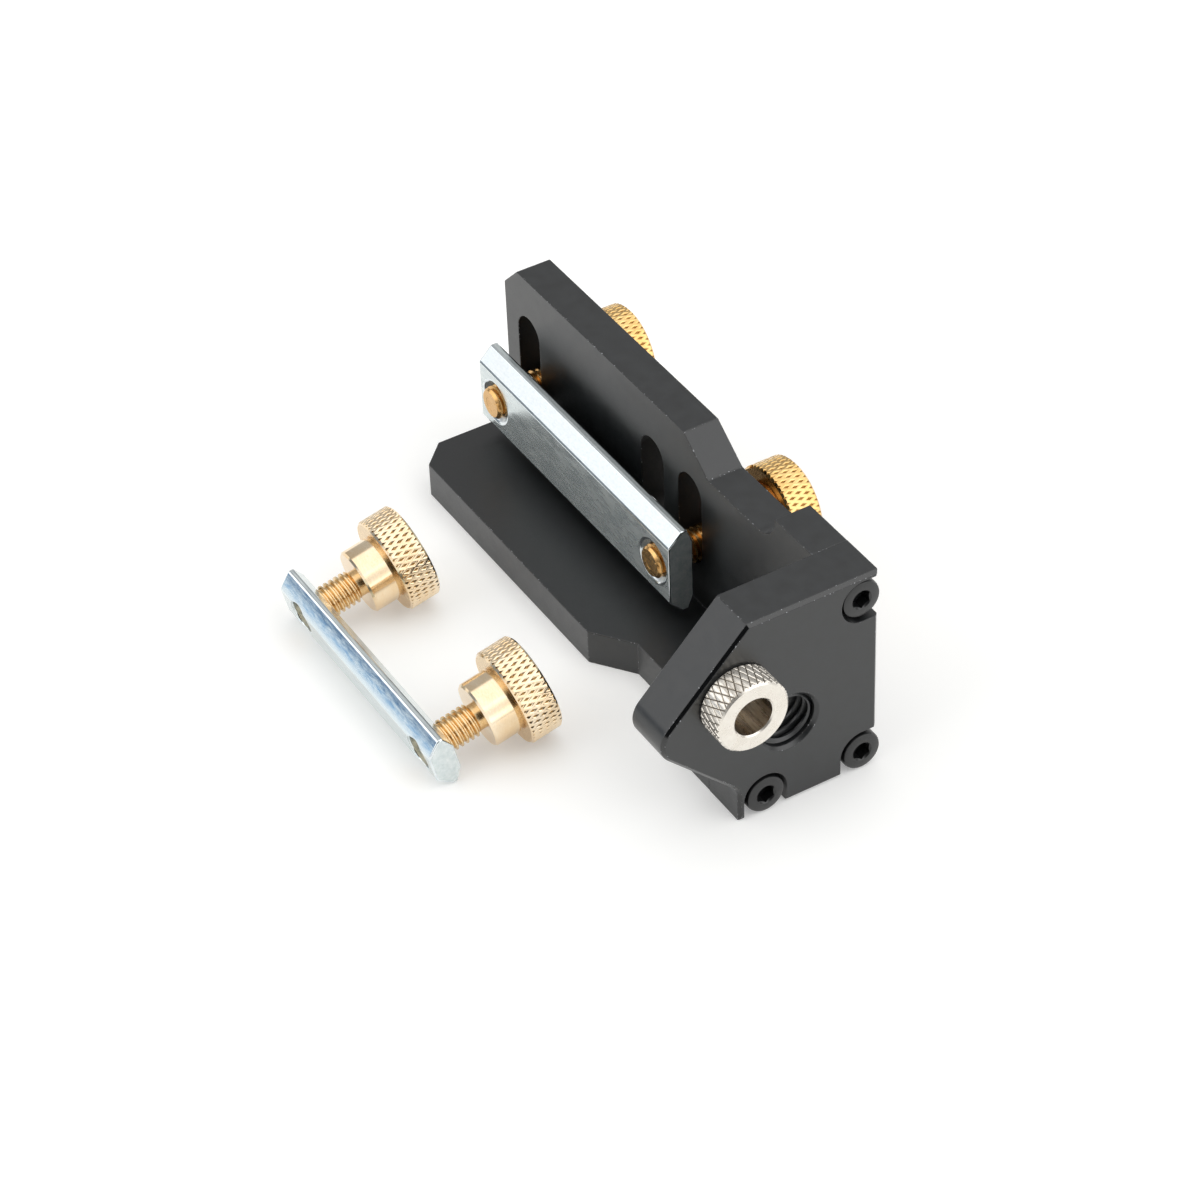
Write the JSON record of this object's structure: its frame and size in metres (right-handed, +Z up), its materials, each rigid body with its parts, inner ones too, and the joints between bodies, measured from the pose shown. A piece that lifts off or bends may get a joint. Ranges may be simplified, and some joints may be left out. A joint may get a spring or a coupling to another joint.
{
  "type": "tapping guide jig",
  "caption": "Angle-shaped bench jig with an end plate, a knurled guide bushing and slotted clamp bars on thumb screws, for tapping the end of a slotted profile.",
  "frame": {"origin": "on the underside of the angle body, below the inner corner of the two legs, at the middle of the body's length", "axes": "+X along the body to the end plate, +Y to the back, +Z up"},
  "size_m": [0.1104, 0.0778, 0.04],
  "materials": {
    "black_anodised": "black anodised, satin",
    "black_oxide": "black oxide",
    "nickel": "nickel plated",
    "zinc": "bright zinc plated",
    "brass": "turned and knurled"
  },
  "bodies": {
    "frame": {"angle_body": "black_anodised", "end_plate": "black_anodised", "cap_screw_top": "black_oxide", "cap_screw_corner": "black_oxide", "cap_screw_foot": "black_oxide"},
    "bushing": {"guide_bushing": "nickel"},
    "clamp": {"clamp_bar": "zinc"},
    "clamp_knob_far": {"clamp_screw_far": "brass"},
    "clamp_knob_near": {"clamp_screw_near": "brass"},
    "spare_clamp": {"spare_bar": "zinc"},
    "spare_knob_far": {"spare_screw_far": "brass"},
    "spare_knob_near": {"spare_screw_near": "brass"}
  },
  "joints": [
    {"name": "clamp_height", "type": "slide", "parent": "frame", "child": "clamp", "axis": [0, 0, 1], "range_m": [0, 0.0118]},
    {"name": "clamp_far_turn", "type": "hinge", "parent": "clamp", "child": "clamp_knob_far", "pos_m": [-0.0399, 0.0094, 0.0172], "axis": [0, 1, 0], "continuous": true},
    {"name": "clamp_near_turn", "type": "hinge", "parent": "clamp", "child": "clamp_knob_near", "pos_m": [0.0117, 0.0097, 0.0172], "axis": [0, 1, 0], "continuous": true},
    {"name": "bushing_draw", "type": "slide", "parent": "frame", "child": "bushing", "axis": [1, 0, 0], "range_m": [0, 0.012]},
    {"name": "spare_lift", "type": "slide", "parent": "frame", "child": "spare_clamp", "axis": [0, 0, 1], "range_m": [0, 0.03]},
    {"name": "spare_far_turn", "type": "hinge", "parent": "spare_clamp", "child": "spare_knob_far", "pos_m": [-0.0214, -0.04532, 0.00706], "axis": [0, 0.9747, 0.2236], "continuous": true},
    {"name": "spare_near_turn", "type": "hinge", "parent": "spare_clamp", "child": "spare_knob_near", "pos_m": [0.0186, -0.04532, 0.00706], "axis": [0, 0.9747, 0.2236], "continuous": true}
  ]
}
